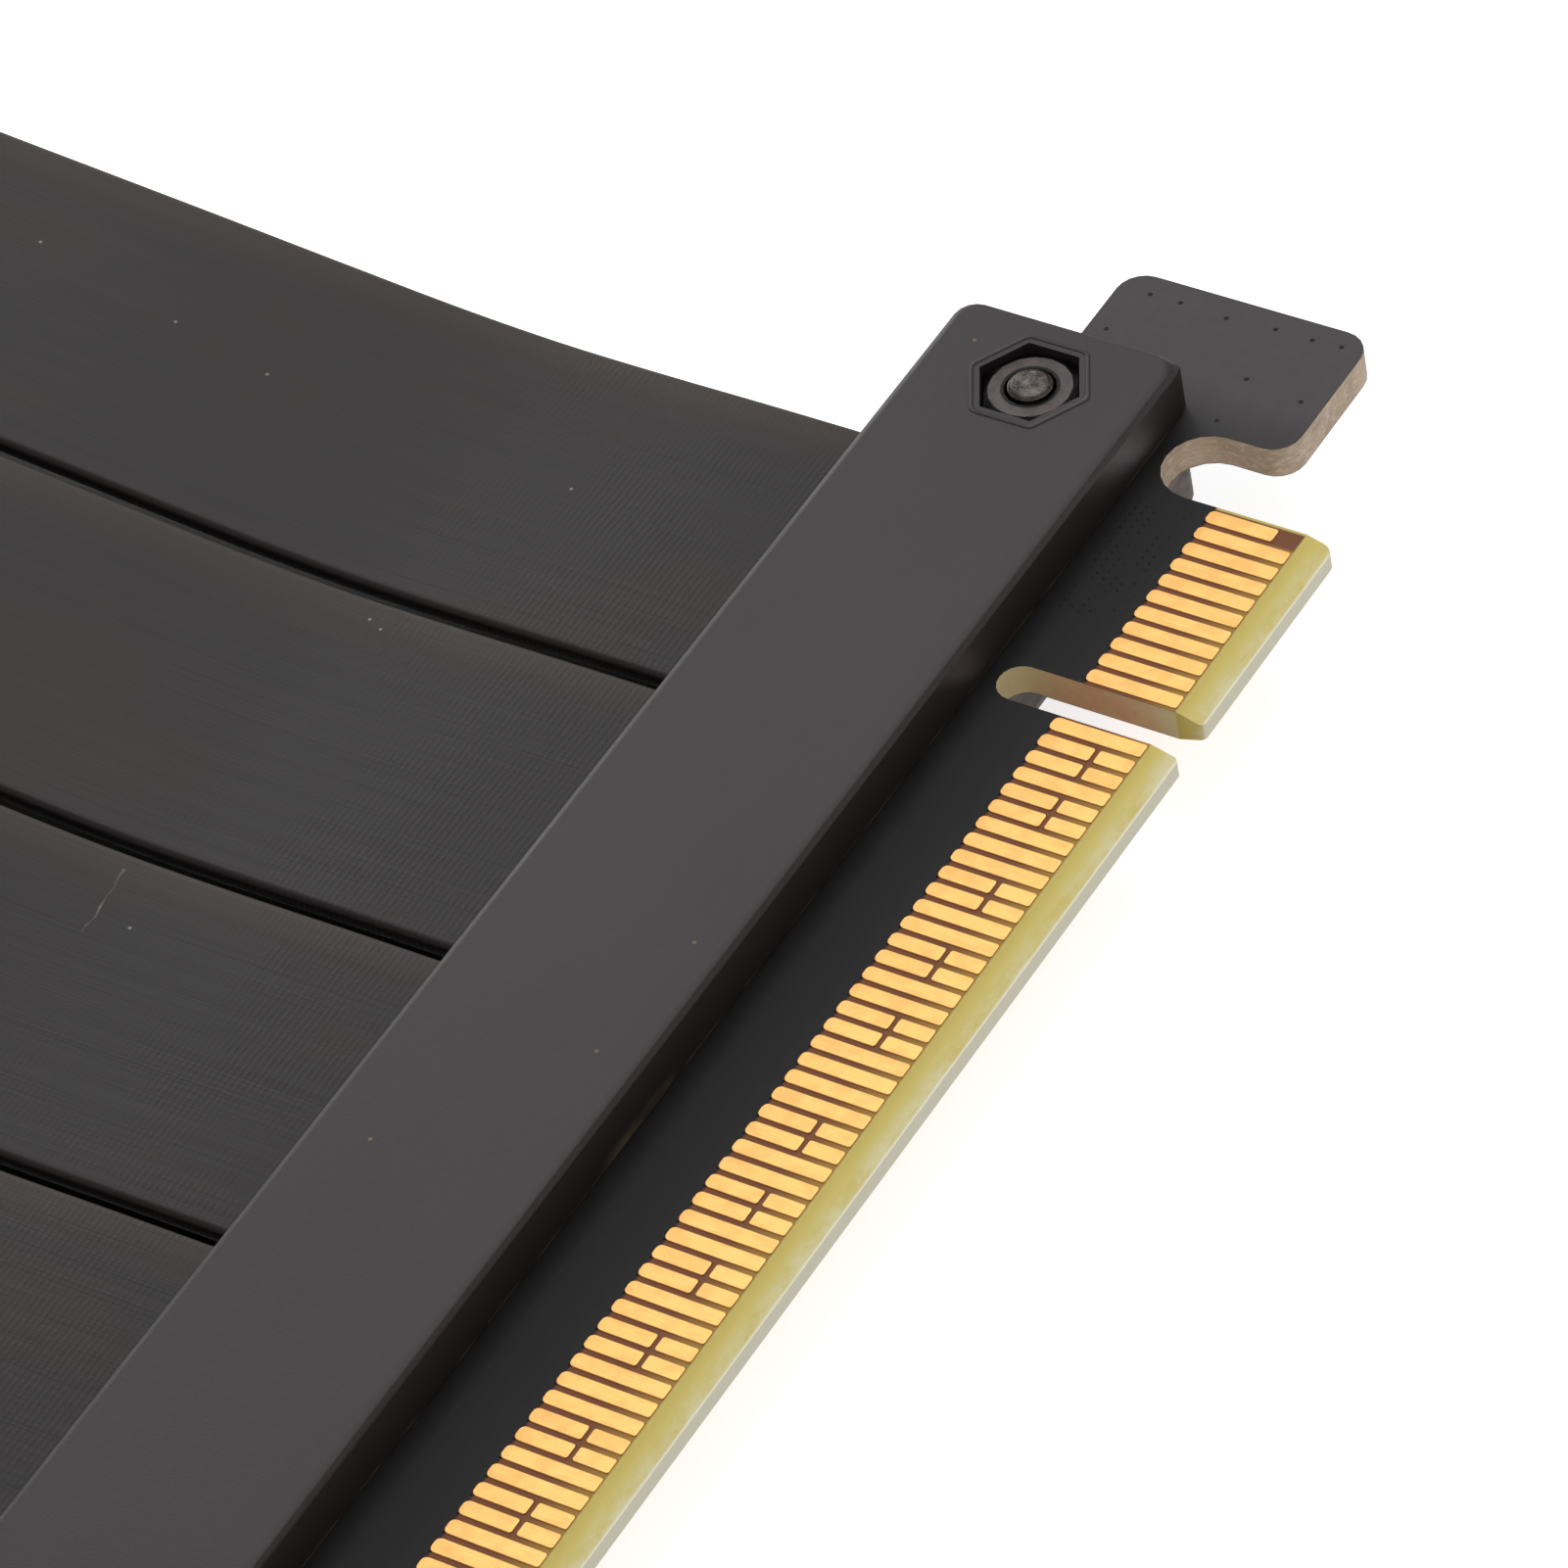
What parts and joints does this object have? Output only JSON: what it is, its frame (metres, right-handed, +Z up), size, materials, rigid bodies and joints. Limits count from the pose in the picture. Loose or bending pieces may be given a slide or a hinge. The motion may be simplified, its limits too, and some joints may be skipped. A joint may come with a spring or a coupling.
{
  "type": "gpu riser cable",
  "caption": "Shielded ribbon riser cable joining a bevelled card-edge plug with a key notch and hook to an upright card slot on a board with screw ears.",
  "frame": {"origin": "on the surface that both ends stand on, under the middle of the two ends", "axes": "+X along the cable towards the contact edge of the plug, +Y along the pins towards pin 1, +Z up out of the card slot"},
  "size_m": [0.2412, 0.1124, 0.0168],
  "materials": {
    "board": "black-brown solder mask over laminate, gold contacts",
    "shell": "fine satin moulded plastic",
    "ribbon": "satin jacket with fine lengthwise streaks",
    "slot": "black moulded connector plastic",
    "nut": "black-oxide steel",
    "screw": "bare steel"
  },
  "bodies": {
    "root": {"plug_board": "board", "plug_upper_shell": "shell", "plug_lower_shell": "shell", "plug_screw_1": "screw", "plug_screw_2": "screw", "plug_nut_1": "nut", "plug_nut_2": "nut", "socket_board": "board", "card_slot": "slot", "socket_upper_shell": "shell", "socket_lower_shell": "shell", "socket_screw_1": "screw", "socket_screw_2": "screw", "socket_nut_1": "nut", "socket_nut_2": "nut", "upper_ribbon_1": "ribbon", "upper_ribbon_2": "ribbon", "upper_ribbon_3": "ribbon", "upper_ribbon_4": "ribbon", "upper_ribbon_5": "ribbon", "lower_ribbon_1": "ribbon", "lower_ribbon_2": "ribbon", "lower_ribbon_3": "ribbon", "lower_ribbon_4": "ribbon", "lower_ribbon_5": "ribbon"}
  },
  "joints": []
}
